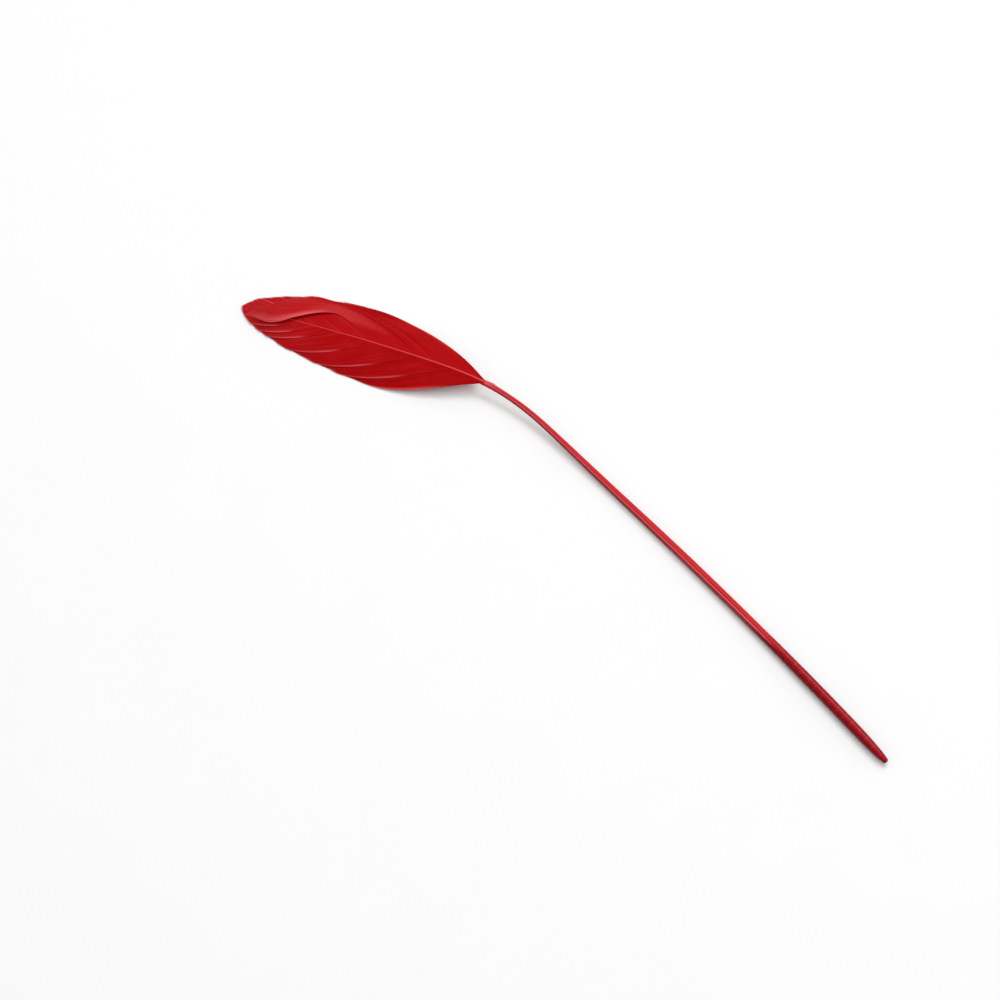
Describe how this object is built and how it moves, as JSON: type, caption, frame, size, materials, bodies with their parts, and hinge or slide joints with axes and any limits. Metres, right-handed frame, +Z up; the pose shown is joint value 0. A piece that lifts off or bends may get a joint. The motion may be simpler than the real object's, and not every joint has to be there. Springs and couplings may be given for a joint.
{
  "type": "goose feather",
  "caption": "Red-dyed stripped feather lying on a surface: a long bare tapering quill that ends in a leaf-shaped vane with split, overlapping locks of barbs.",
  "frame": {"origin": "on the surface the feather lies on, under the quill, 40 mm along it from its lower end", "axes": "+X from the quill's lower end towards the vane's tip, along the line that joins them; +Z up, away from the surface; the rachis bends towards +Y on its way to the tip"},
  "size_m": [0.2927, 0.0384, 0.006],
  "materials": {
    "dyed_keratin": "satin"
  },
  "bodies": {
    "root": {"feather": "dyed_keratin"}
  },
  "joints": []
}
